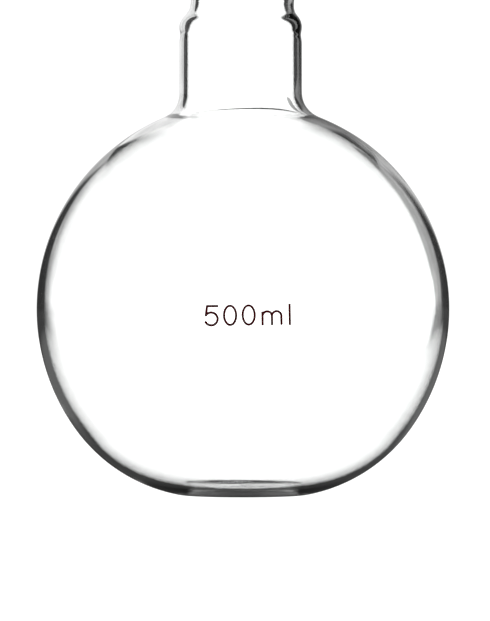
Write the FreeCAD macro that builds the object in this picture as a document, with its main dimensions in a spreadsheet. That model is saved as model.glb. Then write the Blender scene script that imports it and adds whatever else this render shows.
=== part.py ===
"""Flat-bottomed boiling flask, 500 ml, with a 24/29 ground joint and its hollow glass stopper.

Millimetres, +Z up. The origin is the middle of the flat base that the flask stands on, and the
axis of the bulb, neck and joint is the Z axis. The front, with the capacity mark, faces -Y.

The flask is blown glass. The bulb runs into a short straight neck, and the ground socket is
sealed on above it in the flame. The stopper sits in the socket's 1:10 ground cone.
"""

import FreeCAD, Part
import Sketcher
import math
import os

from FreeCAD import Placement, Rotation, Vector

DOCUMENT_NAME = "boiling_flask"
SHEET_NAME = "Sizes"

# Driving dimensions in millimetres and degrees, one spreadsheet row each: alias, value, meaning.
SIZES = [
    ("bulb_radius", 52.5, "outside radius of the bulb"),
    ("bulb_centre_height", 47.4, "height of the bulb's centre above the base"),
    ("bulb_wall", 2.0, "thickness of the bulb's wall"),
    ("heel_radius", 41.8, "outside radius of the bend from the bulb into the base"),
    ("heel_inner_radius", 36.0, "inside radius of the same bend"),
    ("base_radius", 15.8, "radius of the flat base"),
    ("base_wall", 1.6, "thickness of the glass in the base"),
    ("neck_radius", 15.65, "outside radius of the neck"),
    ("neck_bore_radius", 13.5, "inside radius of the neck"),
    ("root_radius", 6.5, "outside fillet where the bulb turns into the neck"),
    ("root_inner_radius", 8.0, "inside fillet where the bulb turns into the neck"),
    ("neck_start", 103.0, "height at which the neck's straight tube begins"),
    ("neck_length", 14.0, "length of the neck's straight tube, up to the flame seal"),
    ("swell_radius", 15.72, "outside radius of the swell just above the flame seal"),
    ("swell_height", 1.9, "height of the swell's widest place above the seal"),
    ("shoulder_low_bend", 4.0, "outside radius of the shoulder's lower bend"),
    ("shoulder_high_bend", 3.5, "outside radius of the shoulder's upper bend"),
    ("throat_radius", 13.2, "outside radius of the socket below its ground zone"),
    ("throat_bore_radius", 10.9, "inside radius of the socket below its ground zone"),
    ("inner_low_bend", 1.8, "inside radius of the shoulder's lower bend"),
    ("inner_high_bend", 5.8, "inside radius of the shoulder's upper bend"),
    ("inner_bend_height", 1.9, "height above the seal at which the inside starts to narrow"),
    ("ground_start", 12.5, "height of the ground zone's small end above the seal"),
    ("ground_length", 29.0, "length of the ground zone, from the joint's size 24/29"),
    ("ground_top_radius", 12.0, "bore radius at the ground zone's large end, half of 24 mm"),
    ("ground_foot_radius", 10.55, "bore radius at the ground zone's small end"),
    ("ground_taper", 0.05, "growth of the ground radius per millimetre, a taper of 1:10"),
    ("relief_height", 0.6, "height of the small step from the ground zone into the throat"),
    ("socket_top_radius", 14.4, "outside radius of the socket just below its bead"),
    ("bead_radius", 15.2, "outside radius of the bead round the mouth"),
    ("bead_bend", 1.8, "radius of the bead's rounded section"),
    ("mouth_rise", 2.4, "height of the mouth above the ground zone"),
    ("mouth_flare", 0.5, "growth of the bore radius from the ground zone to the mouth"),
    ("joint_clearance", 0.06, "radial clearance between the stopper's cone and the socket"),
    ("stopper_wall", 2.2, "thickness of the stopper's wall"),
    ("stopper_shank", 5.0, "length of the stopper between its ground zone and its waist"),
    ("waist_radius", 9.6, "radius of the stopper's waist under its head"),
    ("waist_bend", 1.6, "radius of the two bends from the shank into the waist"),
    ("waist_length", 3.2, "height of the waist, from the shank up to the head"),
    ("head_across_flats", 26.0, "width of the stopper's six-sided head across its flats"),
    ("head_height", 17.0, "height of the stopper's head"),
    ("head_root", 3.0, "how far the waist runs up inside the head's block"),
    ("head_edge_radius", 2.6, "rounding of the head's upright edges"),
    ("head_rim_radius", 2.2, "rounding round the top and bottom of the head"),
    ("head_bore_radius", 7.6, "radius of the hollow inside the head"),
    ("head_roof", 3.0, "thickness of the glass at the top of the head"),
    ("figure_height", 5.2, "height of the capacity mark's figures"),
    ("figure_width", 3.5, "width of one figure"),
    ("figure_gap", 1.0, "gap between two figures"),
    ("word_gap", 1.3, "gap between the figures and the unit"),
    ("unit_height", 3.7, "height of the unit's small letters"),
    ("unit_width", 5.15, "width of the letter m"),
    ("letter_gap", 1.45, "gap between the unit's two letters"),
    ("stroke_width", 0.58, "width of the enamel strokes"),
    ("enamel_thickness", 0.1, "height of the fired enamel over the glass"),
    ("mark_offset", 1.13, "place of the mark's middle to the right of the axis"),
    ("mark_height", 45.8, "height of the middle of the mark"),
    ("mark_tilt", 1.0, "small anticlockwise tilt of the printed mark, in degrees"),
]

document = FreeCAD.newDocument(DOCUMENT_NAME)


# ---------------------------------------------------------------- the sheet and small helpers

def make_sheet():
    """Fill the spreadsheet and return its values by alias."""
    sheet = document.addObject("Spreadsheet::Sheet", SHEET_NAME)
    for row, (alias, value, meaning) in enumerate(SIZES, start=1):
        sheet.set(f"A{row}", alias)
        sheet.set(f"B{row}", str(value))
        sheet.set(f"C{row}", meaning)
        sheet.setAlias(f"B{row}", alias)
    document.recompute()
    return {alias: float(sheet.get(alias)) for alias, _, _ in SIZES}


size = make_sheet()


def cells(formula):
    """Turn a formula in aliases into one that reads the sheet's cells."""
    for alias in sorted(size, key=len, reverse=True):
        formula = formula.replace(f"[{alias}]", f"{SHEET_NAME}.{alias}")
    return formula


def make_body(name, height="0"):
    """A body of its own name, standing at the height that the formula gives."""
    body = document.addObject("PartDesign::Body", name)
    body.Label = name
    body.setExpression("Placement.Base.z", cells(height))
    return body


def origin_feature(body, role):
    for feature in body.Origin.OriginFeatures:
        if feature.Role == role:
            return feature
    raise ValueError(f"no {role} in {body.Label}")


def make_sketch(body, name, plane="XZ_Plane", height=None):
    sketch = body.newObject("Sketcher::SketchObject", name)
    sketch.AttachmentSupport = [(origin_feature(body, plane), "")]
    sketch.MapMode = "FlatFace"
    if height is not None:
        sketch.setExpression("AttachmentOffset.Base.z", cells(height))
    return sketch


def amount(formula):
    """The number that a formula gives: aliases in brackets, joined by plus and minus signs."""
    total, sign = 0.0, 1
    for word in formula.split():
        if word in "+-":
            sign = -1 if word == "-" else 1
        else:
            total += sign * size[word.strip("[]")]
    return total


def dimension(sketch, name, kind, places, formula):
    """Add one named dimension and bind it to the sheet."""
    index = sketch.addConstraint(Sketcher.Constraint(kind, *places, amount(formula)))
    sketch.renameConstraint(index, name)
    sketch.setExpression(f"Constraints.{name}", cells(formula))


# ---------------------------------------------------------------- closed outlines for turning

START = 1
END = 2
CENTRE = 3
ORIGIN = (-1, START)
AXIS_OF_RADIUS = -1
AXIS_OF_HEIGHT = -2


def line(first, last):
    return Part.LineSegment(Vector(*first, 0), Vector(*last, 0))


def arc(centre, radius, from_angle, to_angle):
    circle = Part.Circle(Vector(*centre, 0), Vector(0, 0, 1), radius)
    return Part.ArcOfCircle(circle, from_angle, to_angle)


class Outline:
    """A closed outline in a sketch: pieces added in order round it, each joined to the last."""

    def __init__(self, sketch):
        self.sketch = sketch
        self.ends = []

    def add(self, geometry, smooth=False, backwards=False):
        """Add a piece. A backwards arc is one that the outline follows clockwise."""
        index = self.sketch.addGeometry(geometry, False)
        first, last = (END, START) if backwards else (START, END)
        if self.ends:
            self.join(self.ends[-1], (index, first), smooth)
        self.ends.append((index, last))
        self.opening = getattr(self, "opening", (index, first))
        return index

    def join(self, place, next_place, smooth):
        kind = "Tangent" if smooth else "Coincident"
        self.sketch.addConstraint(Sketcher.Constraint(kind, *place, *next_place))

    def close(self):
        self.join(self.ends[-1], self.opening, False)


def upright(sketch, index):
    sketch.addConstraint(Sketcher.Constraint("Vertical", index))


def level(sketch, index):
    sketch.addConstraint(Sketcher.Constraint("Horizontal", index))


def radius_at(sketch, name, index, place, formula):
    dimension(sketch, name, "DistanceX", (*ORIGIN, index, place), formula)


def height_at(sketch, name, index, place, formula):
    dimension(sketch, name, "DistanceY", (*ORIGIN, index, place), formula)


def turn(body, sketch, name, kind="PartDesign::Revolution"):
    """Turn a section once round the Z axis."""
    feature = body.newObject(kind, name)
    feature.Profile = sketch
    feature.ReferenceAxis = (sketch, ["V_Axis"])
    feature.Angle = 360.0
    body.Tip = feature
    return feature


# ---------------------------------------------------------------- the blown bulb

def touching_angle():
    """Angle below the level at which the heel's arc leaves the bulb's sphere.

    The heel's centre lies on a line from the sphere's centre, at the distance between their
    radii, and its arc passes through the edge of the flat base.
    """
    reach = size["bulb_radius"] - size["heel_radius"]
    height, width = size["bulb_centre_height"], size["base_radius"]
    along = (reach**2 + width**2 + height**2 - size["heel_radius"]**2) / (2 * reach)
    return math.atan2(height, width) - math.acos(along / math.hypot(height, width))


def floor_bend():
    """Centre of the heel's inside bend, and the angle below the level at which it meets the bulb.

    The bend runs smoothly from the flat inside floor into the bulb's inside sphere.
    """
    bend = size["heel_inner_radius"]
    reach = size["bulb_radius"] - size["bulb_wall"] - bend
    height = size["base_wall"] + bend
    drop = size["bulb_centre_height"] - height
    across = math.sqrt(reach**2 - drop**2)
    return (across, height), math.atan2(drop, across)


def bend_centre(wall_radius, sphere_radius, bend_radius):
    """Centre of a bend that touches an upright wall and, from outside, the bulb's sphere."""
    across = wall_radius + bend_radius
    rise = math.sqrt((sphere_radius + bend_radius)**2 - across**2)
    return across, size["bulb_centre_height"] + rise


def bend_angle(centre):
    """Direction from a bend's centre to the bulb's centre."""
    return math.atan2(size["bulb_centre_height"] - centre[1], -centre[0]) + 2 * math.pi


def make_bulb():
    """The round bulb with its flattened base, up to the beginning of the straight neck."""
    body = make_body("bulb")
    sketch = make_sketch(body, "bulb_section")
    outline = Outline(sketch)

    radius, wall = size["bulb_radius"], size["bulb_wall"]
    middle = (0, size["bulb_centre_height"])
    touch = touching_angle()
    reach = radius - size["heel_radius"]
    heel = (reach * math.cos(touch), middle[1] - reach * math.sin(touch))
    foot = math.asin(heel[1] / size["heel_radius"])
    inner_bend = size["heel_inner_radius"]
    inner_heel_centre, inner_touch = floor_bend()
    root = bend_centre(size["neck_radius"], radius, size["root_radius"])
    inner_root = bend_centre(size["neck_bore_radius"], radius - wall, size["root_inner_radius"])
    turn_out, turn_in = bend_angle(root), bend_angle(inner_root)

    base = outline.add(line((0, 0), (size["base_radius"], 0)))
    heel_arc = outline.add(arc(heel, size["heel_radius"], -foot, -touch))
    sphere = outline.add(arc(middle, radius, -touch, turn_out - math.pi), smooth=True)
    root_arc = outline.add(arc(root, size["root_radius"], math.pi, turn_out), True, True)
    collar = outline.add(line((size["neck_radius"], root[1]),
                              (size["neck_radius"], size["neck_start"])), smooth=True)
    rim = outline.add(line((size["neck_radius"], size["neck_start"]),
                           (size["neck_bore_radius"], size["neck_start"])))
    bore = outline.add(line((size["neck_bore_radius"], size["neck_start"]),
                            (size["neck_bore_radius"], inner_root[1])))
    inner_root_arc = outline.add(arc(inner_root, size["root_inner_radius"], math.pi, turn_in),
                                 smooth=True)
    inside = outline.add(arc(middle, radius - wall, -inner_touch, turn_in - math.pi), True, True)
    inner_heel = outline.add(
        arc(inner_heel_centre, inner_bend, -math.pi / 2, -inner_touch), True, True)
    inner_floor = outline.add(line((inner_heel_centre[0], size["base_wall"]),
                                   (0, size["base_wall"])), smooth=True)
    outline.add(line((0, size["base_wall"]), (0, 0)))
    outline.close()

    sketch.addConstraint(Sketcher.Constraint("Coincident", base, START, *ORIGIN))
    for piece in (base, rim, inner_floor):
        level(sketch, piece)
    for piece in (collar, bore):
        upright(sketch, piece)
    sketch.addConstraint(Sketcher.Constraint("PointOnObject", sphere, CENTRE, AXIS_OF_HEIGHT))
    sketch.addConstraint(Sketcher.Constraint("PointOnObject", inner_floor, END, AXIS_OF_HEIGHT))
    sketch.addConstraint(Sketcher.Constraint("Coincident", inside, CENTRE, sphere, CENTRE))
    height_at(sketch, "centre_height", sphere, CENTRE, "[bulb_centre_height]")
    height_at(sketch, "top_height", rim, START, "[neck_start]")
    height_at(sketch, "floor_height", inner_floor, START, "[base_wall]")
    radius_at(sketch, "foot_radius", base, END, "[base_radius]")
    radius_at(sketch, "outer_neck", rim, START, "[neck_radius]")
    radius_at(sketch, "inner_neck", rim, END, "[neck_bore_radius]")
    dimension(sketch, "outer_bulb", "Radius", (sphere,), "[bulb_radius]")
    dimension(sketch, "inner_bulb", "Radius", (inside,), "[bulb_radius] - [bulb_wall]")
    dimension(sketch, "heel_bend", "Radius", (heel_arc,), "[heel_radius]")
    dimension(sketch, "inner_heel_bend", "Radius", (inner_heel,), "[heel_inner_radius]")
    dimension(sketch, "root_bend", "Radius", (root_arc,), "[root_radius]")
    dimension(sketch, "inner_root_bend", "Radius", (inner_root_arc,), "[root_inner_radius]")
    turn(body, sketch, "blown_bulb")
    document.recompute()
    return body


def make_neck_tube():
    """The straight tube between the bulb and the flame seal."""
    body = make_body("neck_tube", "[neck_start]")
    sketch = make_sketch(body, "neck_ring", "XY_Plane")
    for name, alias in (("outside", "neck_radius"), ("bore", "neck_bore_radius")):
        circle = Part.Circle(Vector(0, 0, 0), Vector(0, 0, 1), size[alias])
        index = sketch.addGeometry(circle, False)
        sketch.addConstraint(Sketcher.Constraint("Coincident", index, CENTRE, *ORIGIN))
        dimension(sketch, name, "Radius", (index,), f"[{alias}]")
    tube = body.newObject("PartDesign::Pad", "drawn_tube")
    tube.Profile = sketch
    tube.setExpression("Length", cells("[neck_length]"))
    body.Tip = tube
    document.recompute()
    return body


# ---------------------------------------------------------------- the ground socket

def bends(low_radius, high_radius, low_bend, high_bend, height):
    """Centres of the two bends by which a wall narrows upwards, and the angle where they meet.

    The low bend curves towards the axis and starts at the height given; the high one curves
    back and ends upright.
    """
    low = (low_radius - low_bend, height)
    across = high_radius + high_bend - low[0]
    rise = math.sqrt((low_bend + high_bend)**2 - across**2)
    return low, (high_radius + high_bend, height + rise), math.atan2(rise, across)


def ground_radius(above_small_end):
    """Radius of the ground cone at a height above its small end."""
    return size["ground_top_radius"] - size["ground_taper"] * (
        size["ground_length"] - above_small_end)


def make_joint_socket():
    """The socket above the flame seal: shoulder, throat, ground cone and beaded mouth."""
    body = make_body("joint_socket", "[neck_start] + [neck_length]")
    sketch = make_sketch(body, "socket_section")
    outline = Outline(sketch)

    low_bend, high_bend = size["shoulder_low_bend"], size["shoulder_high_bend"]
    low, high, lean = bends(size["swell_radius"], size["throat_radius"], low_bend, high_bend,
                            size["swell_height"])
    seal_angle = -math.asin(size["swell_height"] / low_bend)
    seal_radius = low[0] + low_bend * math.cos(seal_angle)
    inner_low_bend, inner_high_bend = size["inner_low_bend"], size["inner_high_bend"]
    inner_low, inner_high, inner_lean = bends(
        size["neck_bore_radius"], size["throat_bore_radius"], inner_low_bend, inner_high_bend,
        size["inner_bend_height"])
    ground_start = size["ground_start"]
    ground_end = ground_start + size["ground_length"]
    mouth = ground_end + size["mouth_rise"]
    bead_bend = size["bead_bend"]
    bead = (size["bead_radius"] - bead_bend, mouth - bead_bend)
    bead_angle = -math.acos((size["socket_top_radius"] - bead[0]) / bead_bend)
    bead_start = bead[1] + bead_bend * math.sin(bead_angle)
    mouth_radius = size["ground_top_radius"] + size["mouth_flare"]
    relief = ground_start - size["relief_height"]

    swell = outline.add(arc(low, low_bend, seal_angle, lean))
    root = outline.add(arc(high, high_bend, math.pi, math.pi + lean), True, True)
    throat = outline.add(line((size["throat_radius"], high[1]),
                              (size["throat_radius"], ground_start)), smooth=True)
    cone = outline.add(line((size["throat_radius"], ground_start),
                            (size["socket_top_radius"], bead_start)))
    bead_arc = outline.add(arc(bead, bead_bend, bead_angle, math.pi / 2))
    lip = outline.add(line((bead[0], mouth), (mouth_radius, mouth)), smooth=True)
    flare = outline.add(line((mouth_radius, mouth), (size["ground_top_radius"], ground_end)))
    outline.add(line((size["ground_top_radius"], ground_end),
                     (ground_radius(0), ground_start)))
    step = outline.add(line((ground_radius(0), ground_start),
                            (size["throat_bore_radius"], relief)))
    bore = outline.add(line((size["throat_bore_radius"], relief),
                            (size["throat_bore_radius"], inner_high[1])))
    inner_root = outline.add(arc(inner_high, inner_high_bend, math.pi, math.pi + inner_lean),
                             smooth=True)
    inner_swell = outline.add(arc(inner_low, inner_low_bend, 0, inner_lean), True, True)
    skirt = outline.add(line((size["neck_bore_radius"], inner_low[1]),
                             (size["neck_bore_radius"], 0)), smooth=True)
    seal = outline.add(line((size["neck_bore_radius"], 0), (seal_radius, 0)))
    outline.close()

    level(sketch, seal)
    for piece in (throat, bore, skirt):
        upright(sketch, piece)
    level(sketch, lip)
    sketch.addConstraint(Sketcher.Constraint("PointOnObject", skirt, END, AXIS_OF_RADIUS))
    height_at(sketch, "seal_height", inner_swell, CENTRE, "[inner_bend_height]")
    height_at(sketch, "swell_place", swell, CENTRE, "[swell_height]")
    radius_at(sketch, "swell_size", swell, CENTRE, "[swell_radius] - [shoulder_low_bend]")
    dimension(sketch, "swell_bend", "Radius", (swell,), "[shoulder_low_bend]")
    dimension(sketch, "root_bend", "Radius", (root,), "[shoulder_high_bend]")
    radius_at(sketch, "throat_size", throat, START, "[throat_radius]")
    height_at(sketch, "cone_foot", cone, START, "[ground_start]")
    radius_at(sketch, "cone_top", cone, END, "[socket_top_radius]")
    dimension(sketch, "bead_roundness", "Radius", (bead_arc,), "[bead_bend]")
    radius_at(sketch, "bead_place", bead_arc, CENTRE, "[bead_radius] - [bead_bend]")
    height_at(sketch, "mouth_height", lip, START,
              "[ground_start] + [ground_length] + [mouth_rise]")
    radius_at(sketch, "mouth_size", lip, END, "[ground_top_radius] + [mouth_flare]")
    radius_at(sketch, "ground_top_size", flare, END, "[ground_top_radius]")
    height_at(sketch, "ground_top_height", flare, END, "[ground_start] + [ground_length]")
    height_at(sketch, "ground_foot_height", step, START, "[ground_start]")
    radius_at(sketch, "ground_foot_size", step, START, "[ground_foot_radius]")
    height_at(sketch, "relief_place", bore, START, "[ground_start] - [relief_height]")
    radius_at(sketch, "bore_size", bore, START, "[throat_bore_radius]")
    dimension(sketch, "inner_root_bend", "Radius", (inner_root,), "[inner_high_bend]")
    dimension(sketch, "inner_swell_bend", "Radius", (inner_swell,), "[inner_low_bend]")
    radius_at(sketch, "skirt_size", skirt, END, "[neck_bore_radius]")
    turn(body, sketch, "sealed_socket")
    document.recompute()
    return body


# ---------------------------------------------------------------- the stopper

HEAD_SIDES = 6


def make_stopper_stem(body):
    """The solid stem: ground cone, shank and waist."""
    sketch = make_sketch(body, "stem_section")
    outline = Outline(sketch)
    tip, top = (ground_radius(place) - size["joint_clearance"]
                for place in (0, size["ground_length"]))
    shank = size["ground_length"] + size["stopper_shank"]
    bend = size["waist_bend"]
    low, high, lean = bends(top, size["waist_radius"], bend, bend, shank)
    head = shank + size["waist_length"]
    joined = head + size["head_root"]

    foot = outline.add(line((0, 0), (tip, 0)))
    outline.add(line((tip, 0), (top, size["ground_length"])))
    side = outline.add(line((top, size["ground_length"]), (top, shank)))
    low_arc = outline.add(arc(low, bend, 0, lean), smooth=True)
    high_arc = outline.add(arc(high, bend, math.pi, math.pi + lean), True, True)
    waist = outline.add(line((size["waist_radius"], high[1]), (size["waist_radius"], joined)),
                        smooth=True)
    cover = outline.add(line((size["waist_radius"], joined), (0, joined)))
    outline.add(line((0, joined), (0, 0)))
    outline.close()

    sketch.addConstraint(Sketcher.Constraint("Coincident", foot, START, *ORIGIN))
    sketch.addConstraint(Sketcher.Constraint("PointOnObject", cover, END, AXIS_OF_HEIGHT))
    for piece in (foot, cover):
        level(sketch, piece)
    for piece in (side, waist):
        upright(sketch, piece)
    radius_at(sketch, "tip_size", foot, END, "[ground_foot_radius] - [joint_clearance]")
    radius_at(sketch, "cone_top", side, START, "[ground_top_radius] - [joint_clearance]")
    height_at(sketch, "cone_height", side, START, "[ground_length]")
    height_at(sketch, "shank_height", side, END, "[ground_length] + [stopper_shank]")
    dimension(sketch, "low_bend", "Radius", (low_arc,), "[waist_bend]")
    dimension(sketch, "high_bend", "Radius", (high_arc,), "[waist_bend]")
    radius_at(sketch, "waist_size", waist, END, "[waist_radius]")
    height_at(sketch, "joined_height", waist, END,
              "[ground_length] + [stopper_shank] + [waist_length] + [head_root]")
    turn(body, sketch, "stem")


def make_stopper_head(body):
    """The six-sided head, with its upright edges and its rims rounded."""
    foot = "[ground_length] + [stopper_shank] + [waist_length]"
    sketch = make_sketch(body, "head_outline", "XY_Plane", foot)
    corner = size["head_across_flats"] / 2 / math.cos(math.pi / HEAD_SIDES)
    corners = [(corner * math.cos(turned), corner * math.sin(turned))
               for turned in (2 * math.pi * side / HEAD_SIDES for side in range(HEAD_SIDES))]
    outline = Outline(sketch)
    sides = [outline.add(line(first, last))
             for first, last in zip(corners, corners[1:] + corners[:1])]
    outline.close()
    guide = sketch.addGeometry(Part.Circle(Vector(0, 0, 0), Vector(0, 0, 1), corner), True)
    sketch.addConstraint(Sketcher.Constraint("Coincident", guide, CENTRE, *ORIGIN))
    for side in sides:
        sketch.addConstraint(Sketcher.Constraint("PointOnObject", side, START, guide))
    for side in sides[1:]:
        sketch.addConstraint(Sketcher.Constraint("Equal", sides[0], side))
    level(sketch, sides[1])
    radius = 0.5 * size["head_across_flats"]
    index = sketch.addConstraint(
        Sketcher.Constraint("DistanceY", *ORIGIN, sides[1], START, radius))
    sketch.renameConstraint(index, "half_across_flats")
    sketch.setExpression("Constraints.half_across_flats", cells("[head_across_flats] / 2"))
    head = body.newObject("PartDesign::Pad", "head_block")
    head.Profile = sketch
    head.setExpression("Length", cells("[head_height]"))
    body.Tip = head
    document.recompute()

    low = amount(foot)
    levels = (low, low + size["head_height"])
    upright_edges = [name for name, edge in named_edges(head)
                     if beyond_waist(edge) and edge.BoundBox.ZLength > size["head_height"] / 2]
    add_fillet(body, head, "head_corners", upright_edges, "[head_edge_radius]")
    rims = [name for name, edge in named_edges(body.Tip)
            if beyond_waist(edge) and edge.BoundBox.ZLength < SMALL
            and min(abs(edge.BoundBox.ZMax - place) for place in levels) < SMALL]
    add_fillet(body, body.Tip, "head_rims", rims, "[head_rim_radius]")


SMALL = 1e-4


def named_edges(feature):
    return [(f"Edge{number}", edge) for number, edge in enumerate(feature.Shape.Edges, start=1)]


def beyond_waist(edge):
    """Whether every end of an edge lies outside the waist and the shank."""
    return all(math.hypot(end.X, end.Y) > size["ground_top_radius"] for end in edge.Vertexes)


def add_fillet(body, base, name, edges, formula):
    fillet = body.newObject("PartDesign::Fillet", name)
    fillet.Base = (base, edges)
    fillet.setExpression("Radius", cells(formula))
    body.Tip = fillet
    document.recompute()


def make_stopper_hollow(body):
    """Groove out the hollow, which is open at the bottom and domed inside the head."""
    sketch = make_sketch(body, "hollow_section")
    outline = Outline(sketch)
    inset = size["joint_clearance"] + size["stopper_wall"]
    tip, top = (ground_radius(place) - inset for place in (0, size["ground_length"]))
    shank = size["ground_length"] + size["stopper_shank"]
    throat = shank + size["waist_length"]
    bore = size["head_bore_radius"]
    roof = throat + size["head_height"] - size["head_roof"]
    dome = roof - bore

    mouth = outline.add(line((0, 0), (tip, 0)))
    outline.add(line((tip, 0), (top, size["ground_length"])))
    funnel = outline.add(line((top, size["ground_length"]), (bore, throat)))
    side = outline.add(line((bore, throat), (bore, dome)))
    dome_arc = outline.add(arc((0, dome), bore, 0, math.pi / 2), smooth=True)
    outline.add(line((0, roof), (0, 0)))
    outline.close()

    sketch.addConstraint(Sketcher.Constraint("Coincident", mouth, START, *ORIGIN))
    sketch.addConstraint(Sketcher.Constraint("PointOnObject", dome_arc, CENTRE, AXIS_OF_HEIGHT))
    sketch.addConstraint(Sketcher.Constraint("PointOnObject", dome_arc, END, AXIS_OF_HEIGHT))
    level(sketch, mouth)
    upright(sketch, side)
    radius_at(sketch, "mouth_size", mouth, END,
              "[ground_foot_radius] - [joint_clearance] - [stopper_wall]")
    radius_at(sketch, "funnel_foot", funnel, START,
              "[ground_top_radius] - [joint_clearance] - [stopper_wall]")
    height_at(sketch, "funnel_height", funnel, START, "[ground_length]")
    height_at(sketch, "throat_height", side, START,
              "[ground_length] + [stopper_shank] + [waist_length]")
    radius_at(sketch, "head_bore", side, START, "[head_bore_radius]")
    height_at(sketch, "roof_height", dome_arc, END,
              "[ground_length] + [stopper_shank] + [waist_length] + [head_height]"
              " - [head_roof]")
    before = body.Tip.Shape.Volume
    groove = turn(body, sketch, "hollow", "PartDesign::Groove")
    document.recompute()
    if groove.Shape.Volume >= before:
        raise RuntimeError("the stopper's hollow cut nothing")


def make_stopper():
    """The hollow stopper, seated in the socket's ground cone."""
    body = make_body("stopper", "[neck_start] + [neck_length] + [ground_start]")
    make_stopper_stem(body)
    make_stopper_head(body)
    make_stopper_hollow(body)
    return body


# ---------------------------------------------------------------- the capacity mark

def pen_stroke(*edges):
    """The area that a round pen covers along joined edges."""
    wire = Part.Wire([edge.toShape() for edge in edges])
    return wire.makeOffset2D(size["stroke_width"] / 2, 0, True, False, False)


def bar(first, last):
    """A straight stroke with square ends."""
    half = size["stroke_width"] / 2
    start, end = Vector(*first, 0), Vector(*last, 0)
    side = (end - start).normalize().cross(Vector(0, 0, 1)) * half
    corners = [start + side, end + side, end - side, start - side, start + side]
    return Part.Face(Part.makePolygon(corners))


def bow(*points):
    return Part.Arc(*(Vector(*point, 0) for point in points))


def figure_five(width, height):
    """A flat top bar, a leaning back and a round bowl."""
    top_left = (0.14 * width, height)
    waist = (0.03 * width, 0.52 * height)
    bowl = bow(waist, (width, 0.33 * height), (0, 0.17 * height))
    return pen_stroke(line((width, height), top_left), line(top_left, waist), bowl)


def figure_nought(width, height):
    """An upright oval ring."""
    half = size["stroke_width"] / 2
    middle = Vector(width / 2, height / 2, 0)
    across = Vector(1, 0, 0)
    outside, inside = (
        Part.Face(Part.Wire(Part.Ellipse(
            middle + Vector(0, height / 2 + grow, 0),
            middle + across * (width / 2 + grow), middle).toShape()))
        for grow in (half, -half))
    return outside.cut(inside)


def letter_m(width, height):
    """A stem and two round arches."""
    arch = width / 2
    spring = height - arch / 2
    stem = bar((0, -size["stroke_width"] / 2), (0, height))
    arches = [pen_stroke(bow((left, spring), (left + arch / 2, height), (left + arch, spring)),
                         line((left + arch, spring), (left + arch, 0)))
              for left in (0, arch)]
    return stem.fuse(arches).removeSplitter()


def letter_l(width, height):
    half = size["stroke_width"] / 2
    return bar((width / 2, -half), (width / 2, height + half))


def mark_glyphs():
    """Yield each glyph's face, placed along the line of the mark, centred on its own origin."""
    stroke = size["stroke_width"]
    figure = (size["figure_width"] - stroke, size["figure_height"] - stroke)
    unit = (size["unit_width"] - stroke, size["unit_height"] - stroke)
    row = [
        (figure_five, figure, size["figure_gap"]),
        (figure_nought, figure, size["figure_gap"]),
        (figure_nought, figure, size["word_gap"]),
        (letter_m, unit, size["letter_gap"]),
        (letter_l, (0, figure[1]), 0),
    ]
    length = sum(cell[0] + stroke + gap for _, cell, gap in row)
    place = (stroke - length) / 2
    for draw, cell, gap in row:
        glyph = draw(*cell)
        glyph.translate(Vector(place, -figure[1] / 2, 0))
        yield glyph
        place += cell[0] + stroke + gap


def make_capacity_mark():
    """The fired enamel mark, a thin raised layer that follows the bulb's surface."""
    mark = document.addObject("Part::Feature", "capacity_mark")
    mark.Label = "capacity_mark"
    placement = Placement(Vector(size["mark_offset"], 0, size["mark_height"]),
                          Rotation(Vector(0, -1, 0), size["mark_tilt"]))
    centre = placement.inverse().multVec(Vector(0, 0, size["bulb_centre_height"]))
    radius = size["bulb_radius"]
    layer = Part.makeSphere(radius + size["enamel_thickness"], centre).cut(
        Part.makeSphere(radius, centre))
    upright_front = Rotation(Vector(1, 0, 0), 90)
    solids = []
    for glyph in mark_glyphs():
        block = glyph.extrude(Vector(0, 0, 2 * radius))
        block.Placement = Placement(Vector(0, 0, 0), upright_front)
        solids += block.common(layer).Solids
    mark.Shape = Part.makeCompound(solids)
    mark.Placement = placement
    document.recompute()
    return mark


# ---------------------------------------------------------------- make, test and write

MOST_FILES = 60


def test_document():
    """Stop if any object failed."""
    for thing in document.Objects:
        if {"Invalid", "Error"} & set(thing.State):
            raise RuntimeError(f"{thing.Label} failed: {thing.State}")
    for sketch in document.findObjects("Sketcher::SketchObject"):
        if not sketch.FullyConstrained:
            raise RuntimeError(f"{sketch.Label} is not fully constrained")


def write(pieces):
    """Test each piece's shape, then write it under its own name."""
    os.makedirs("parts", exist_ok=True)
    if len(pieces) > MOST_FILES:
        raise RuntimeError("too many pieces")
    for piece in pieces:
        shape = piece.Shape
        if shape.isNull() or not shape.isValid() or not shape.Solids:
            raise RuntimeError(f"{piece.Label} has no sound shape")
    for piece in pieces:
        piece.Shape.exportStep(f"parts/{piece.Label}.step")
        box = piece.Shape.BoundBox
        print(f"{piece.Label}: {len(piece.Shape.Solids)} solid(s), {piece.Shape.Volume:.0f} mm3,"
              f" z {box.ZMin:.2f} to {box.ZMax:.2f}")


pieces = [
    make_bulb(),
    make_neck_tube(),
    make_joint_socket(),
    make_stopper(),
    make_capacity_mark(),
]
document.recompute()
test_document()
write(pieces)
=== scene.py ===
"""Looks for the 500 ml flat-bottomed boiling flask and its hollow ground-glass stopper.

Metres, +Z up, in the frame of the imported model. The flask is one sheet of glass that runs from
the base up the outside, over the mouth and down the inside. Sizes named *_MM are millimetres.
"""
import math

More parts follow.
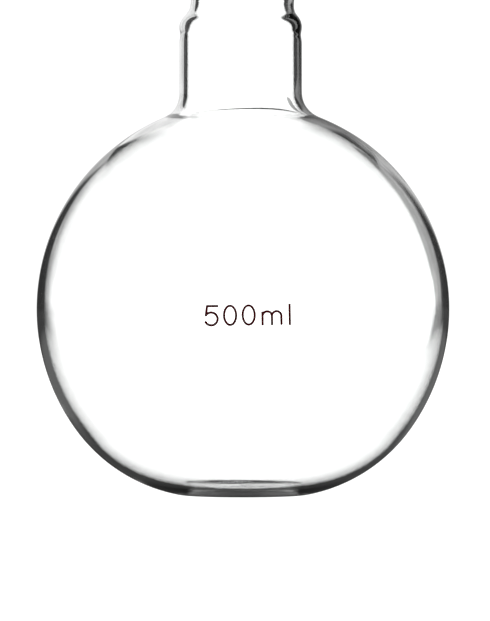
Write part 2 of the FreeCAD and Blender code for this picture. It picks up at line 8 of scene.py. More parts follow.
import bmesh
import bpy
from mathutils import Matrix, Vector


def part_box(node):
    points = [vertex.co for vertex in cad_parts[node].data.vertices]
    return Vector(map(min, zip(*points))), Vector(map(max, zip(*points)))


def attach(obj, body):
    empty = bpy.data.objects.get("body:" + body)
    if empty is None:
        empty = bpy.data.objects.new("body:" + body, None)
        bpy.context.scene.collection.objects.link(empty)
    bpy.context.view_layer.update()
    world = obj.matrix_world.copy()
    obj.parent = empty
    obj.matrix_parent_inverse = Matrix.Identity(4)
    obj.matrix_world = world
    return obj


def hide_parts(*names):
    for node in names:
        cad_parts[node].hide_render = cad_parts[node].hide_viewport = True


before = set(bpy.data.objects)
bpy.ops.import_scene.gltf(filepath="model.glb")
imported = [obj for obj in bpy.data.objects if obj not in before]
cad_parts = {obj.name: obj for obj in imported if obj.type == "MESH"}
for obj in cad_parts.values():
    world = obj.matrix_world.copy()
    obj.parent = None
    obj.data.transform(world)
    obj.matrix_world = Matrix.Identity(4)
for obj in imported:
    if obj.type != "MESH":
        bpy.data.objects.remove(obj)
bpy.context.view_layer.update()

MM = 0.001
TAU = 2 * math.pi


# ---------------------------------------------------------------- sizes taken from the frame

def half_width(node):
    """Half the smaller width of a CAD node, in millimetres."""
    low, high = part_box(node)
    return min(high.x - low.x, high.y - low.y) / 2 / MM


def top(node):
    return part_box(node)[1].z / MM


def bottom(node):
    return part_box(node)[0].z / MM


BULB_RADIUS_MM = half_width("bulb")
NECK_RADIUS_MM = half_width("neck_tube")
SWELL_RADIUS_MM = half_width("joint_socket")
SEAL_MM = bottom("joint_socket")
MOUTH_MM = top("joint_socket")
TIP_MM = bottom("stopper")
CROWN_MM = top("stopper")
HEAD_APOTHEM_MM = half_width("stopper")

# Sizes inside the glass, which the boxes don't give.
BULB_CENTRE_MM = 47.4
BULB_WALL_MM = 2.0
HEEL_RADIUS_MM = 41.8
HEEL_INNER_RADIUS_MM = 36.0
BASE_RADIUS_MM = 15.8
BASE_WALL_MM = 1.6
BASE_HOLLOW_MM = 0.05
BASE_HOLLOW_RADIUS_MM = 13.0
NECK_BORE_MM = 13.5
ROOT_BEND_MM = 6.5
ROOT_INNER_BEND_MM = 8.0
SWELL_HEIGHT_MM = 1.9
SHOULDER_LOW_BEND_MM = 4.0
SHOULDER_HIGH_BEND_MM = 3.5
INNER_LOW_BEND_MM = 1.8
INNER_HIGH_BEND_MM = 5.8
INNER_BEND_HEIGHT_MM = 1.9
THROAT_RADIUS_MM = 13.2
THROAT_BORE_MM = 10.9
GROUND_LENGTH_MM = 29.0
GROUND_TOP_BORE_MM = 12.0
GROUND_TAPER = 0.05
SOCKET_TOP_RADIUS_MM = 14.4
BEAD_RADIUS_MM = 15.2
BEAD_BEND_MM = 1.8
MOUTH_BORE_MM = 12.5
JOINT_CLEARANCE_MM = 0.06
STOPPER_WALL_MM = 2.2
SHANK_MM = 5.0
WAIST_RADIUS_MM = 9.6
WAIST_BEND_MM = 1.6
WAIST_LENGTH_MM = 3.2
HEAD_RIM_MM = 2.2
HEAD_BORE_MM = 7.6
HEAD_ROOF_MM = 3.0
HEAD_SIDES = 6
HOLLOW_POINTS = 8
SEAL_LEAD_MM = 1.2
THROAT_LEAD_MM = 0.6


# ---------------------------------------------------------------- outlines

def bend(centre, radius, first, last):
    """Points of an arc in the outline's plane; angles in degrees from the outward radius."""
    count = max(3, int(abs(last - first) * radius / 40) + 2)
    angles = (math.radians(first + (last - first) * step / (count - 1))
              for step in range(count))
    return [(centre[0] + radius * math.cos(a), centre[1] + radius * math.sin(a))
            for a in angles]


def narrowing(low_radius, high_radius, low_bend, high_bend, height):
    """Centres of the two bends of a wall that narrows upwards, and the lean in degrees."""
    low = (low_radius - low_bend, height)
    across = high_radius + high_bend - low[0]
    rise = math.sqrt((low_bend + high_bend)**2 - across**2)
    return low, (high_radius + high_bend, height + rise), math.degrees(math.atan2(rise, across))


def even_steps(points, step):
    """The outline again, with points about one step apart."""
    lengths = [0.0]
    for a, b in zip(points, points[1:]):
        lengths.append(lengths[-1] + math.dist(a, b))
    count = max(2, round(lengths[-1] / step))
    result, piece = [], 0
    for number in range(count + 1):
        target = lengths[-1] * number / count
        while piece < len(points) - 2 and lengths[piece + 1] < target:
            piece += 1
        span = lengths[piece + 1] - lengths[piece] or 1.0
        part = min(1.0, (target - lengths[piece]) / span)
        a, b = points[piece], points[piece + 1]
        result.append((a[0] + (b[0] - a[0]) * part, a[1] + (b[1] - a[1]) * part))
    return result


def fire_polished(points, rounds):
    """Soften every corner a little, as heat does; the two ends stay on the axis."""
    for _ in range(rounds):
        inner = [((a[0] + 2 * b[0] + c[0]) / 4, (a[1] + 2 * b[1] + c[1]) / 4)
                 for a, b, c in zip(points, points[1:], points[2:])]
        points = [points[0]] + inner + [points[-1]]
    return points


def heel_place():
    """Centre of the heel's bend, and its angles at the base and at the bulb, in degrees."""
    reach = BULB_RADIUS_MM - HEEL_RADIUS_MM
    along = (reach**2 + BASE_RADIUS_MM**2 + BULB_CENTRE_MM**2 - HEEL_RADIUS_MM**2) / (2 * reach)
    touch = (math.atan2(BULB_CENTRE_MM, BASE_RADIUS_MM)
             - math.acos(along / math.hypot(BULB_CENTRE_MM, BASE_RADIUS_MM)))
    centre = (reach * math.cos(touch), BULB_CENTRE_MM - reach * math.sin(touch))
    foot = math.asin(centre[1] / HEEL_RADIUS_MM)
    return centre, -math.degrees(foot), -math.degrees(touch)


def floor_place(inner_radius):
    """Centre of the heel's inside bend, and the angle at which it leaves the inside sphere."""
    height = BASE_WALL_MM + HEEL_INNER_RADIUS_MM
    drop = BULB_CENTRE_MM - height
    across = math.sqrt((inner_radius - HEEL_INNER_RADIUS_MM)**2 - drop**2)
    return (across, height), -math.degrees(math.atan2(drop, across))


def root_place(wall_radius, sphere_radius, bend_radius):
    """Centre of the bend from the bulb into the neck, and the angle where it meets the bulb."""
    across = wall_radius + bend_radius
    rise = math.sqrt((sphere_radius + bend_radius)**2 - across**2)
    return (across, BULB_CENTRE_MM + rise), math.degrees(math.atan2(rise, across))


def flask_outside():
    """From the middle of the base up to the top of the mouth's bead."""
    heel, foot, touch = heel_place()
    root, lean = root_place(NECK_RADIUS_MM, BULB_RADIUS_MM, ROOT_BEND_MM)
    low, high, slope = narrowing(SWELL_RADIUS_MM, THROAT_RADIUS_MM, SHOULDER_LOW_BEND_MM,
                                 SHOULDER_HIGH_BEND_MM, SEAL_MM + SWELL_HEIGHT_MM)
    seal_angle = -math.degrees(math.asin(SWELL_HEIGHT_MM / SHOULDER_LOW_BEND_MM))
    bead = (BEAD_RADIUS_MM - BEAD_BEND_MM, MOUTH_MM - BEAD_BEND_MM)
    bead_angle = -math.degrees(math.acos((SOCKET_TOP_RADIUS_MM - bead[0]) / BEAD_BEND_MM))
    hollow = [(BASE_HOLLOW_RADIUS_MM * part / HOLLOW_POINTS,
               BASE_HOLLOW_MM * (1 - (part / HOLLOW_POINTS)**2)**2)
              for part in range(HOLLOW_POINTS + 1)]
    return (hollow
            + [(BASE_RADIUS_MM, 0)]
            + bend(heel, HEEL_RADIUS_MM, foot, touch)
            + bend((0, BULB_CENTRE_MM), BULB_RADIUS_MM, touch, lean)
            + bend(root, ROOT_BEND_MM, 180 + lean, 180)
            + [(NECK_RADIUS_MM, SEAL_MM - SEAL_LEAD_MM)]
            + bend(low, SHOULDER_LOW_BEND_MM, seal_angle, slope)
            + bend(high, SHOULDER_HIGH_BEND_MM, 180 + slope, 180)
            + [(THROAT_RADIUS_MM, TIP_MM)]
            + bend(bead, BEAD_BEND_MM, bead_angle, 90))


def flask_inside():
    """From the mouth down the inside to the middle of the floor."""
    inner_radius = BULB_RADIUS_MM - BULB_WALL_MM
    heel, touch = floor_place(inner_radius)
    root, lean = root_place(NECK_BORE_MM, inner_radius, ROOT_INNER_BEND_MM)
    low, high, slope = narrowing(NECK_BORE_MM, THROAT_BORE_MM, INNER_LOW_BEND_MM,
                                 INNER_HIGH_BEND_MM, SEAL_MM + INNER_BEND_HEIGHT_MM)
    ground_foot = GROUND_TOP_BORE_MM - GROUND_TAPER * GROUND_LENGTH_MM
    return ([(MOUTH_BORE_MM, MOUTH_MM),
             (GROUND_TOP_BORE_MM, TIP_MM + GROUND_LENGTH_MM),
             (ground_foot, TIP_MM),
             (THROAT_BORE_MM, TIP_MM - THROAT_LEAD_MM)]
            + bend(high, INNER_HIGH_BEND_MM, 180, 180 + slope)
            + bend(low, INNER_LOW_BEND_MM, slope, 0)
            + bend(root, ROOT_INNER_BEND_MM, 180, 180 + lean)
            + bend((0, BULB_CENTRE_MM), inner_radius, lean, touch)
            + bend(heel, HEEL_INNER_RADIUS_MM, touch, -90)
            + [(0, BASE_WALL_MM)])


def stopper_outside():
    """From the tip's inner edge round the tip and up to the middle of the crown."""
    top_radius = GROUND_TOP_BORE_MM - JOINT_CLEARANCE_MM
    tip_radius = top_radius - GROUND_TAPER * GROUND_LENGTH_MM
    ground_end = TIP_MM + GROUND_LENGTH_MM
    shank = ground_end + SHANK_MM
    head = shank + WAIST_LENGTH_MM
    low, high, slope = narrowing(top_radius, WAIST_RADIUS_MM, WAIST_BEND_MM, WAIST_BEND_MM, shank)
    rim = HEAD_APOTHEM_MM - HEAD_RIM_MM
    return ([(tip_radius - STOPPER_WALL_MM, TIP_MM), (tip_radius, TIP_MM),
             (top_radius, ground_end)]
            + bend(low, WAIST_BEND_MM, 0, slope)
            + bend(high, WAIST_BEND_MM, 180 + slope, 180)
            + [(WAIST_RADIUS_MM, head)]
            + bend((rim, head + HEAD_RIM_MM), HEAD_RIM_MM, -90, 0)
            + bend((rim, CROWN_MM - HEAD_RIM_MM), HEAD_RIM_MM, 0, 90)
            + [(0, CROWN_MM)])


def stopper_inside():
    """From the top of the hollow down to the tip."""
    top_radius = GROUND_TOP_BORE_MM - JOINT_CLEARANCE_MM - STOPPER_WALL_MM
    ground_end = TIP_MM + GROUND_LENGTH_MM
    throat = ground_end + SHANK_MM + WAIST_LENGTH_MM
    dome = CROWN_MM - HEAD_ROOF_MM - HEAD_BORE_MM
    return (bend((0, dome), HEAD_BORE_MM, 90, 0)
            + [(HEAD_BORE_MM, throat), (top_radius, ground_end)])


# ---------------------------------------------------------------- turned meshes

STEP_MM = 0.5
TURN_STEPS = 256
POLISH_ROUNDS = 3
STOPPER_POLISH_ROUNDS = 2


def turned(name, outline, shape, ground, aside=lambda height, place: 0.0):
    """A mesh turned from an outline of (radius, height) in millimetres.

    The outline begins and ends on the axis. shape moves each point, given its radius, height and
    angle, and its place along the outline from 0 to 1. ground says whether the glass at a radius
    and height is ground, which gives those faces the second material. aside gives how far the
    axis stands to the right at a height.
    """
    mesh = bmesh.new()
    rings = []
    last = len(outline) - 1
    for number, (radius, height) in enumerate(outline):
        ring = []
        for turn in range(1 if number in (0, last) else TURN_STEPS):
            angle = TAU * turn / TURN_STEPS
            r, z = shape(radius, height, angle, number / last)
            across = r * math.cos(angle) + aside(z, number / last)
            ring.append(mesh.verts.new((across * MM, r * math.sin(angle) * MM, z * MM)))
        rings.append(ring)
    for low, high, a, b in zip(rings, rings[1:], outline, outline[1:]):
        is_ground = ground((a[0] + b[0]) / 2, (a[1] + b[1]) / 2)
        for turn in range(TURN_STEPS):
            following = (turn + 1) % TURN_STEPS
            corners = [low[turn % len(low)], low[following % len(low)],
                       high[following % len(high)], high[turn % len(high)]]
            face = mesh.faces.new(list(dict.fromkeys(corners)))
            face.smooth = True
            face.material_index = int(is_ground)
    bmesh.ops.recalc_face_normals(mesh, faces=mesh.faces)
    data = bpy.data.meshes.new(name)
    mesh.to_mesh(data)
    mesh.free()
    piece = bpy.data.objects.new(name, data)
    bpy.context.scene.collection.objects.link(piece)
    return piece


def between(value, low, high):
    """Smooth step from 0 at low to 1 at high."""
    part = min(1.0, max(0.0, (value - low) / (high - low)))
    return part * part * (3 - 2 * part)


# Unevenness of the hand-blown glass.
NECK_SHIFT_MM = -0.65
BORE_SHIFT_MM = -0.3
NECK_SHIFT_START_MM = 88.0
NECK_SHIFT_FULL_MM = 103.0
NECK_SHIFT_LAST_MM = 119.0
NECK_SHIFT_END_MM = 128.5
WALL_WANDER_MM = 0.12
OUTSIDE_WANDER_MM = 0.08


def hand_blown(radius, height, angle, place):
    """Small unevenness of blown glass. The outside only ever moves inwards."""
    inside = place > FLASK_TURNING_PLACE
    amount = between(height, 2.0, 20.0) * (1 - between(height, SEAL_MM + 9, TIP_MM - 1))
    if inside:
        wave = (math.sin(angle * 2 + 0.6 + height * 0.021)
                + 0.7 * math.sin(angle * 3 + 2.1 - height * 0.034)
                + 0.5 * math.sin(angle + 4.0 + height * 0.055))
        radius += WALL_WANDER_MM * amount * wave
        height -= WALL_WANDER_MM * 0.5 * math.sin(angle * 2 + 1.0) * (
            1 - between(radius, 6, 18)) * (1 - between(height, 5, 20)) * between(radius, 0, 4)
    else:
        wave = 0.5 + 0.25 * math.sin(angle * 2 + 1.1) + 0.25 * math.sin(angle * 3 + height * 0.05)
        radius -= OUTSIDE_WANDER_MM * amount * wave
    return radius, height


def set_aside(height, place):
    """How far the glass stands off the axis at a height: a hand-blown neck is never quite true."""
    neck = between(height, NECK_SHIFT_START_MM, NECK_SHIFT_FULL_MM)
    joint = between(height, NECK_SHIFT_LAST_MM, NECK_SHIFT_END_MM)
    shift = BORE_SHIFT_MM if place > FLASK_TURNING_PLACE else NECK_SHIFT_MM
    return shift * neck * (1 - joint)


flask_outline = fire_polished(even_steps(flask_outside() + flask_inside(), STEP_MM),
                              POLISH_ROUNDS)
FLASK_TURNING_PLACE = max(range(len(flask_outline)),
                          key=lambda n: flask_outline[n][1]) / (len(flask_outline) - 1)


def socket_is_ground(radius, height):
    return TIP_MM < height < TIP_MM + GROUND_LENGTH_MM and radius < GROUND_TOP_BORE_MM + 0.3


def stopper_is_ground(radius, height):
    cone = (GROUND_TOP_BORE_MM - JOINT_CLEARANCE_MM
            - GROUND_TAPER * (TIP_MM + GROUND_LENGTH_MM - height))
    return TIP_MM + 0.4 < height < TIP_MM + GROUND_LENGTH_MM and radius > cone - 0.5


CORNER_SHARPNESS = 24


def six_sided(angle):
    """How far a rounded hexagon reaches at an angle, as a multiple of its apothem."""
    total = sum(max(0.0, math.cos(angle - TAU * (side + 0.5) / HEAD_SIDES))**CORNER_SHARPNESS
                for side in range(HEAD_SIDES))
    return total**(-1 / CORNER_SHARPNESS)


def stopper_shape(radius, height, angle, place):
    head = TIP_MM + GROUND_LENGTH_MM + SHANK_MM + WAIST_LENGTH_MM
    if place < STOPPER_TURNING_PLACE or height < head - 0.3:
        return radius, height
    spread = between(radius, WAIST_RADIUS_MM, WAIST_RADIUS_MM + 1.6)
    if height > head + HEAD_RIM_MM:
        spread = 1.0
    radius *= 1 + spread * (six_sided(angle) - 1)
    return radius, height


stopper_hollow = even_steps(stopper_inside() + stopper_outside()[:1], STEP_MM)
stopper_outline = fire_polished(stopper_hollow + even_steps(stopper_outside(), STEP_MM)[1:],
                                STOPPER_POLISH_ROUNDS)
STOPPER_TURNING_PLACE = len(stopper_hollow) / (len(stopper_outline) - 1)


# ---------------------------------------------------------------- materials

class Nodes:
    """A short way to write a material's or world's nodes."""

    def __init__(self, owner):
        owner.use_nodes = True
        self.tree = owner.node_tree
        self.tree.nodes.clear()

    def make(self, kind, inputs=(), **settings):
        node = self.tree.nodes.new(kind)
        for name, value in settings.items():
            setattr(node, name, value)
        for name, value in dict(inputs).items():
            socket = node.inputs[name]
            if isinstance(value, bpy.types.NodeSocket):
                self.tree.links.new(value, socket)
            else:
                socket.default_value = value
        return node

    def math(self, operation, *values, clamp=False):
        node = self.make("ShaderNodeMath", enumerate(values), operation=operation,
                         use_clamp=clamp)
        return node.outputs[0]

    def ramp(self, value, low, high, to_low=0.0, to_high=1.0):
        """Smooth step of a value, from to_low at low to to_high at high."""
        node = self.make("ShaderNodeMapRange", {"Value": value, "From Min": low,
                                                "From Max": high, "To Min": to_low,
                                                "To Max": to_high},
                         interpolation_type="SMOOTHSTEP")
        return node.outputs["Result"]

    def noise(self, vector, scale, detail=2.0, roughness=0.5):
        node = self.make("ShaderNodeTexNoise", {"Vector": vector, "Scale": scale,
                                                "Detail": detail, "Roughness": roughness})
        return node.outputs["Fac"]

    def stretched(self, x, y, z):
        """Object coordinates, scaled along each axis."""
        place = self.make("ShaderNodeTexCoord").outputs["Object"]
        return self.make("ShaderNodeMapping",
                         {"Vector": place, "Scale": (x, y, z)}).outputs["Vector"]


GLASS_TINT = (0.992, 0.998, 0.995, 1.0)
GLASS_IOR = 1.474
GROUND_TINT = (0.97, 0.98, 0.975, 1.0)
ENAMEL_DARK = (0.020, 0.0002, 0.0009, 1.0)
ENAMEL_RED = (0.042, 0.0004, 0.0016, 1.0)


def clear_glass():
    """Fire-polished borosilicate, with the faint cords and ripples of drawn and blown glass."""
    material = bpy.data.materials.new("clear_borosilicate")
    nodes = Nodes(material)
    cords = nodes.noise(nodes.stretched(1.0, 1.0, 0.25), 90.0, 3.0, 0.55)
    ripples = nodes.noise(nodes.stretched(1.0, 1.0, 1.6), 38.0, 1.0)
    relief = nodes.math("ADD", nodes.math("MULTIPLY", cords, 0.35), ripples)
    bump = nodes.make("ShaderNodeBump", {"Strength": 0.05, "Distance": 0.0006,
                                         "Height": relief})
    shader = nodes.make("ShaderNodeBsdfPrincipled",
                        {"Base Color": GLASS_TINT, "Roughness": 0.0, "IOR": GLASS_IOR,
                         "Transmission Weight": 1.0, "Normal": bump.outputs["Normal"]})
    nodes.make("ShaderNodeOutputMaterial", {"Surface": shader.outputs["BSDF"]})
    return material


def ground_glass():
    """The finely ground cones: a dull grain with a few turned grinding lines."""
    material = bpy.data.materials.new("ground_borosilicate")
    nodes = Nodes(material)
    grain = nodes.noise(nodes.stretched(1.0, 1.0, 1.0), 5200.0, 2.0, 0.6)
    lines = nodes.noise(nodes.stretched(0.02, 0.02, 1.0), 2600.0, 2.0)
    patches = nodes.noise(nodes.stretched(1.0, 1.0, 1.0), 160.0, 3.0)
    relief = nodes.math("ADD", grain, nodes.math("MULTIPLY", lines, 0.5))
    bump = nodes.make("ShaderNodeBump", {"Strength": 0.35, "Distance": 0.00003,
                                         "Height": relief})
    roughness = nodes.ramp(patches, 0.3, 0.7, 0.34, 0.46)
    shader = nodes.make("ShaderNodeBsdfPrincipled",
                        {"Base Color": GROUND_TINT, "Roughness": roughness,
                         "IOR": GLASS_IOR, "Transmission Weight": 1.0,
                         "Normal": bump.outputs["Normal"]})
    nodes.make("ShaderNodeOutputMaterial", {"Surface": shader.outputs["BSDF"]})
    return material


def fired_enamel():
    """Dark maroon stain, slightly uneven in depth, fired to a dull gloss."""
    material = bpy.data.materials.new("maroon_enamel")
    nodes = Nodes(material)
    blotch = nodes.noise(nodes.stretched(1.0, 1.0, 1.0), 900.0, 3.0, 0.6)
    speck = nodes.noise(nodes.stretched(1.0, 1.0, 1.0), 5200.0, 2.0, 0.7)
    depth = nodes.math("ADD", nodes.math("MULTIPLY", blotch, 0.7),
                       nodes.math("MULTIPLY", speck, 0.3))
    colour = nodes.make("ShaderNodeMix", {"Factor": nodes.ramp(depth, 0.35, 0.65)},
                        data_type="RGBA")
    colour.inputs["A"].default_value = ENAMEL_DARK
    colour.inputs["B"].default_value = ENAMEL_RED
    bump = nodes.make("ShaderNodeBump", {"Strength": 0.3, "Distance": 0.00002,
                                         "Height": speck})
    shader = nodes.make("ShaderNodeBsdfPrincipled",
                        {"Base Color": colour.outputs["Result"],
                         "Roughness": nodes.ramp(blotch, 0.3, 0.7, 0.32, 0.48),
                         "Specular IOR Level": 0.05,
                         "Normal": bump.outputs["Normal"]})
    nodes.make("ShaderNodeOutputMaterial", {"Surface": shader.outputs["BSDF"]})
    return material


clear = clear_glass()
ground = ground_glass()

flask = turned("flask_glass", flask_outline, hand_blown, socket_is_ground, set_aside)
stopper = turned("stopper_glass", stopper_outline, stopper_shape, stopper_is_ground)
for piece in (flask, stopper):
    piece.data.materials.append(clear)
    piece.data.materials.append(ground)
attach(flask, "flask")
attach(stopper, "stopper")
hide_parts("bulb", "neck_tube", "joint_socket")
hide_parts("stopper")

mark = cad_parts["capacity_mark"]
mark.data.materials.clear()
mark.data.materials.append(fired_enamel())


# ---------------------------------------------------------------- the stage

def degrees(low, high):
    return math.radians(low), math.radians(high)


# Brightness of the stage. "Mirrored" is what the glass reflects, inside or outside itself.
WHITE = 1.9
TENT_WHITE = 1.4
CAMERA_WHITE = 1.1
# CARD_GREY is also the dim glow of the collar card's dark parts, a painted reflection.
CARD_GREY = 0.03
MIRRORED_WHITE = 1.0

# The floor in metres from the flask: the grey band the floor glows with for rays the glass
# mirrors, a painted reflection, and how far off the painted dark gaps begin.
FLOOR_REACH = 6.0
FLOOR_PALE = (0.90, 0.90, 0.90, 1.0)
FLOOR_PALER = (0.93, 0.93, 0.93, 1.0)
MIRRORED_NEAR_REACH = (0.05, 0.12)
MIRRORED_FAR_REACH = (0.35, 1.3)
MIRRORED_LOW = 0.045
MIRRORED_HIGH = 0.12
FAR_REACH = (0.5, 2.2)

# The mirrored panels: a bright lower part in a dimmer, wider one, with a dark core above it.
PANEL_SPACING = TAU / 8
BRIGHT_EDGE = degrees(3.0, 7.5)
BRIGHT_HEAD = degrees(5.0, 10.0)
PANEL_DIM = 0.50
PANEL_EDGE = degrees(7.5, 11.5)
PANEL_SPREAD = 0.62
PANEL_FOOT = degrees(-1.5, 2.5)
PANEL_HEAD = degrees(24, 32)
CORE_EDGE = degrees(1.0, 2.6)
CORE_FOOT = degrees(4.0, 8.0)
CORE_DEPTH = 0.65
LOW_GREY_EDGE = degrees(-2.0, 0.5)
LOW_GREY = 0.09
FOLD_SCALE = 11.0
FOLD_DARKEST = 0.6

# The gaps between the panels, as seen through the glass.
LEFT_GAP_EDGE = degrees(9.0, 19.0)
LEFT_GAP_GREY = 0.2
RIGHT_GREY_EDGE = degrees(8.6, 10.0)
RIGHT_GREY = 0.30
RIGHT_GAP_EDGE = degrees(14.0, 18.0)
RIGHT_GAP_GREY = 0.05

# The ring of glowing card round the neck: painted light and painted reflections that only the
# glass sees.
COLLAR_RADIUS_MM = 55.0
COLLAR_FOOT_MM = 101.0
COLLAR_TOP_MM = (150.0, 165.0)
COLLAR_STEPS = 96
COLLAR_END = degrees(70, 85)
CARD_MIDDLE = degrees(-4, 4)
LEFT_CARD = 0.9
LEFT_CARD_EDGE = degrees(47, 51)
LEFT_CARD_STREAKS = 70.0
RIGHT_CARD = 0.28
RIGHT_CARD_EDGE = degrees(37, 45)
RIGHT_CARD_FLARE = math.radians(13)
RIGHT_CARD_FLARE_MM = (104.0, 110.0)


def panel_turn(nodes, x, y):
    """How far a direction or place is turned to the right of the nearest panel's middle."""
    turn = nodes.math("ARCTAN2", x, y)
    return nodes.math("WRAP", turn, PANEL_SPACING / 2, -PANEL_SPACING / 2)


def panel_gap(nodes, turn):
    """Brightness between the panels as seen through the glass: a soft dark gap left of each
    panel, and a grey screen, then the gap, to the right."""
    left = nodes.ramp(nodes.math("MULTIPLY", turn, -1.0), *LEFT_GAP_EDGE, 1.0, LEFT_GAP_GREY)
    screen = nodes.ramp(turn, *RIGHT_GREY_EDGE, 1.0, RIGHT_GREY)
    right = nodes.ramp(turn, *RIGHT_GAP_EDGE, 1.0, RIGHT_GAP_GREY)
    return nodes.math("MULTIPLY", left, nodes.math("MULTIPLY", screen, right))


def floor_paint_and_glass_glow():
    """The studio's pale seamless floor, with the faintest mottle.

    For rays through or off the glass the floor is no paint but a glow, painted light. What the
    glass shows of it glows as bright as the tent, with painted dark gaps between the panels far
    off. What the glass mirrors of it glows grey, a painted reflection, darker close to the flask
    and far off.
    """
    material = bpy.data.materials.new("pale_floor_and_glass_glow")
    nodes = Nodes(material)
    place = nodes.stretched(1.0, 1.0, 1.0)
    mottle = nodes.noise(place, 6.0, 3.0)
    colour = nodes.make("ShaderNodeMix", {"Factor": mottle}, data_type="RGBA")
    colour.inputs["A"].default_value = FLOOR_PALE
    colour.inputs["B"].default_value = FLOOR_PALER
    paint = nodes.make("ShaderNodeBsdfDiffuse", {"Color": colour.outputs["Result"]})
    reach = nodes.make("ShaderNodeVectorMath", {0: place}, operation="LENGTH").outputs["Value"]
    split = nodes.make("ShaderNodeSeparateXYZ", {"Vector": place}).outputs
    # Painted dark gaps: for rays through the glass the floor glows darker between the panels, far
    # off.
    gap = panel_gap(nodes, panel_turn(nodes, split["X"], split["Y"]))
    far = nodes.ramp(reach, *FAR_REACH)
    gap = nodes.make("ShaderNodeMix", {"Factor": far, "A": 1.0, "B": gap},
                     data_type="FLOAT").outputs[0]
    seen = nodes.math("MULTIPLY", gap, WHITE)
    # Painted reflection: for rays the glass mirrors the floor glows grey, brighter in a band at
    # middle distance, darker close to the flask and far off.
    band = nodes.math("MULTIPLY", nodes.ramp(reach, *MIRRORED_NEAR_REACH),
                      nodes.ramp(reach, *MIRRORED_FAR_REACH, 1.0, 0.0))
    mirrored = nodes.ramp(band, 0.0, 1.0, MIRRORED_LOW, MIRRORED_HIGH)
    path = nodes.make("ShaderNodeLightPath").outputs
    is_mirrored = nodes.math("MINIMUM", path["Glossy Depth"], 1.0)
    light = nodes.make("ShaderNodeMix", {"Factor": is_mirrored, "A": seen, "B": mirrored},
                       data_type="FLOAT").outputs[0]
    # The floor glows, painted light, only for rays through or off the glass; the camera and matt
    # surfaces see the plain paint.
    glow = nodes.make("ShaderNodeEmission", {"Color": (1.0, 1.0, 1.0, 1.0), "Strength": light})
    through = nodes.math("ADD", path["Transmission Depth"], path["Glossy Depth"])
    is_matt = nodes.math("MINIMUM", path["Diffuse Depth"], 1.0)
    in_glass = nodes.math("MULTIPLY", nodes.math("MINIMUM", through, 1.0),
                          nodes.math("SUBTRACT", 1.0, is_matt))
    mix = nodes.make("ShaderNodeMixShader", {0: in_glass, 1: paint.outputs[0],
                                             2: glow.outputs[0]})
    nodes.make("ShaderNodeOutputMaterial", {"Surface": mix.outputs[0]})
    material.cycles.emission_sampling = "NONE"
    return material


def studio_world():
    """White all round for the eye and for light on matt surfaces, as in a light tent.

    Glass bends and mirrors it into view as eight tall soft panels, 45 degrees apart, with dark
    gaps between them. The gaps give clear glass its dark edges.
    """
    world = bpy.data.worlds.new("studio")
    world.cycles.sampling_method = "NONE"
    bpy.context.scene.world = world
    nodes = Nodes(world)
    path = nodes.make("ShaderNodeLightPath").outputs
    direction = nodes.make("ShaderNodeTexCoord").outputs["Generated"]
    split = nodes.make("ShaderNodeSeparateXYZ", {"Vector": direction}).outputs
    turn = panel_turn(nodes, split["X"], split["Y"])
    aside = nodes.math("ABSOLUTE", turn)
    rise = nodes.math("ARCSINE", split["Z"])

    bright = nodes.math("MULTIPLY", nodes.ramp(aside, *BRIGHT_EDGE, 1.0, 0.0),
                        nodes.ramp(rise, *BRIGHT_HEAD, 1.0, 0.0))
    bright = nodes.ramp(bright, 0.0, 1.0, PANEL_DIM, 1.0)
    spread = nodes.math("MULTIPLY", rise, PANEL_SPREAD)
    edge = nodes.math("SUBTRACT", aside, spread)
    panel = nodes.math("MULTIPLY", bright, nodes.ramp(edge, *PANEL_EDGE, 1.0, 0.0))
    foot = nodes.ramp(rise, *PANEL_FOOT)
    head = nodes.ramp(rise, *PANEL_HEAD, 1.0, 0.0)
    panel = nodes.math("MULTIPLY", panel, nodes.math("MULTIPLY", foot, head))
    middle = nodes.math("MULTIPLY", nodes.ramp(aside, *CORE_EDGE, 1.0, 0.0),
                        nodes.ramp(rise, *CORE_FOOT))
    middle = nodes.math("MULTIPLY", middle, CORE_DEPTH)
    panel = nodes.math("MULTIPLY", panel, nodes.math("SUBTRACT", 1.0, middle))
    folds = nodes.ramp(nodes.noise(direction, FOLD_SCALE, 2.0), 0.34, 0.66, FOLD_DARKEST, 1.0)
    panel = nodes.math("MULTIPLY", panel, folds)
    low = nodes.ramp(rise, *LOW_GREY_EDGE, LOW_GREY, CARD_GREY)
    reflected = nodes.math("ADD", nodes.math("MULTIPLY", panel, MIRRORED_WHITE), low)

    seen_through = nodes.math("MULTIPLY", panel_gap(nodes, turn), WHITE)
    is_reflected = nodes.math("MINIMUM", path["Glossy Depth"], 1.0)
    is_matt = nodes.math("MINIMUM", path["Diffuse Depth"], 1.0)
    glass = nodes.make("ShaderNodeMix", {"Factor": is_reflected, "A": seen_through,
                                         "B": reflected}, data_type="FLOAT").outputs[0]
    either = nodes.make("ShaderNodeMix", {"Factor": is_matt, "A": glass, "B": TENT_WHITE},
                        data_type="FLOAT").outputs[0]
    strength = nodes.make("ShaderNodeMix", {"Factor": path["Is Camera Ray"], "A": either,
                                            "B": CAMERA_WHITE}, data_type="FLOAT").outputs[0]
    back = nodes.make("ShaderNodeBackground", {"Color": (1.0, 1.0, 1.0, 1.0),
                                               "Strength": strength})
    nodes.make("ShaderNodeOutputWorld", {"Surface": back.outputs["Background"]})


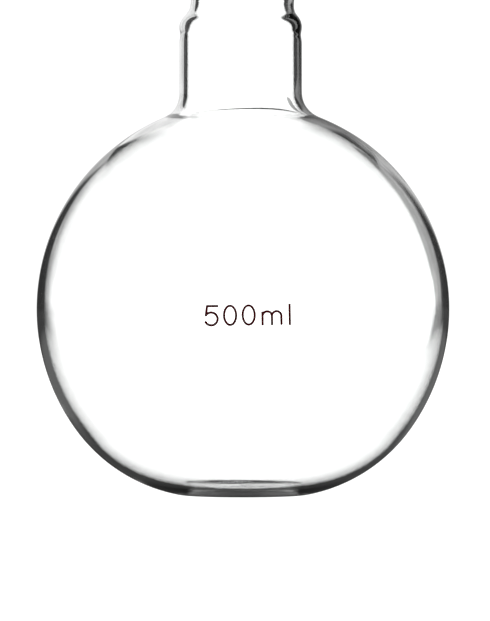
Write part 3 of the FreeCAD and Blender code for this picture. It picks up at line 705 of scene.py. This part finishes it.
def glowing_collar_card():
    """White card round the neck, which only the glass sees.

    The card is no lamp but glows, painted light. Light that comes straight through the neck meets
    white glow all round. Light that the neck's wall mirrors meets a bright glow on the left, with
    painted streaks, and a grey glow, then black, on the right: painted reflections on the neck.
    """
    material = bpy.data.materials.new("glowing_collar_card")
    nodes = Nodes(material)
    place = nodes.make("ShaderNodeTexCoord").outputs["Object"]
    split = nodes.make("ShaderNodeSeparateXYZ", {"Vector": place}).outputs
    turn = nodes.math("ARCTAN2", split["X"], split["Y"])
    away = nodes.math("ABSOLUTE", turn)
    height = nodes.math("DIVIDE", split["Z"], MM)
    # Painted streaks of light in what the neck mirrors of the left of the card.
    painted_light_streaks = nodes.ramp(nodes.noise(place, LEFT_CARD_STREAKS, 2.0), 0.36, 0.62,
                         0.8, 1.0)
    left = nodes.math("MULTIPLY", nodes.ramp(away, *LEFT_CARD_EDGE, LEFT_CARD, CARD_GREY),
                      painted_light_streaks)
    flare = nodes.ramp(height, *RIGHT_CARD_FLARE_MM, RIGHT_CARD_FLARE, 0.0)
    right = nodes.ramp(nodes.math("SUBTRACT", away, flare), *RIGHT_CARD_EDGE, RIGHT_CARD,
                       CARD_GREY)
    # Painted reflection: for rays the neck mirrors the card glows bright on the left, grey then
    # black on the right.
    mirrored = nodes.make("ShaderNodeMix", {"Factor": nodes.ramp(turn, *CARD_MIDDLE),
                                            "A": left, "B": right},
                          data_type="FLOAT").outputs[0]
    path = nodes.make("ShaderNodeLightPath").outputs
    is_mirrored = nodes.math("MINIMUM", path["Glossy Depth"], 1.0)
    light = nodes.make("ShaderNodeMix", {"Factor": is_mirrored, "A": WHITE, "B": mirrored},
                       data_type="FLOAT").outputs[0]
    # The card glows, painted light, though it is no lamp.
    glow = nodes.make("ShaderNodeEmission", {"Color": (1.0, 1.0, 1.0, 1.0), "Strength": light})
    clear_air = nodes.make("ShaderNodeBsdfTransparent")
    present = nodes.ramp(height, *COLLAR_TOP_MM, 1.0, 0.0)
    beyond = nodes.math("MULTIPLY", is_mirrored, nodes.ramp(away, *COLLAR_END))
    present = nodes.math("MULTIPLY", present, nodes.math("SUBTRACT", 1.0, beyond))
    mix = nodes.make("ShaderNodeMixShader", {0: present, 1: clear_air.outputs[0],
                                             2: glow.outputs[0]})
    nodes.make("ShaderNodeOutputMaterial", {"Surface": mix.outputs[0]})
    material.cycles.emission_sampling = "NONE"
    return material


def make_collar():
    """A ring of glowing card in the air round the neck, above the bulb: painted light that only
    the glass sees.
    """
    mesh = bmesh.new()
    rings = []
    for height in (COLLAR_FOOT_MM, COLLAR_TOP_MM[1]):
        rings.append([mesh.verts.new((COLLAR_RADIUS_MM * math.cos(TAU * turn / COLLAR_STEPS) * MM,
                                      COLLAR_RADIUS_MM * math.sin(TAU * turn / COLLAR_STEPS) * MM,
                                      height * MM)) for turn in range(COLLAR_STEPS)])
    for turn in range(COLLAR_STEPS):
        following = (turn + 1) % COLLAR_STEPS
        mesh.faces.new((rings[0][turn], rings[0][following], rings[1][following],
                        rings[1][turn]))
    data = bpy.data.meshes.new("collar")
    mesh.to_mesh(data)
    mesh.free()
    collar = bpy.data.objects.new("collar", data)
    collar.data.materials.append(glowing_collar_card())
    collar.visible_camera = False
    collar.visible_diffuse = False
    collar.visible_shadow = False
    bpy.context.scene.collection.objects.link(collar)


def make_floor():
    mesh = bmesh.new()
    bmesh.ops.create_grid(mesh, x_segments=8, y_segments=8, size=FLOOR_REACH)
    data = bpy.data.meshes.new("floor")
    mesh.to_mesh(data)
    mesh.free()
    floor = bpy.data.objects.new("floor", data)
    floor.data.materials.append(floor_paint_and_glass_glow())
    bpy.context.scene.collection.objects.link(floor)


CAMERA_PLACE = (0.0005, -1.091, 0.0469)
CAMERA_LENS = 248.7


def make_camera():
    """A long lens, level with the middle of the bulb."""
    data = bpy.data.cameras.new("camera")
    data.lens = CAMERA_LENS
    data.sensor_width = 36.0
    camera = bpy.data.objects.new("camera", data)
    camera.location = CAMERA_PLACE
    camera.rotation_euler = (math.radians(90), 0, 0)
    bpy.context.scene.collection.objects.link(camera)
    bpy.context.scene.camera = camera


studio_world()
make_floor()
make_collar()
make_camera()

scene = bpy.context.scene
scene.view_settings.view_transform = "Standard"
scene.cycles.max_bounces = 32
scene.cycles.transmission_bounces = 24
scene.cycles.glossy_bounces = 12
scene.cycles.diffuse_bounces = 6
scene.cycles.blur_glossy = 0.0
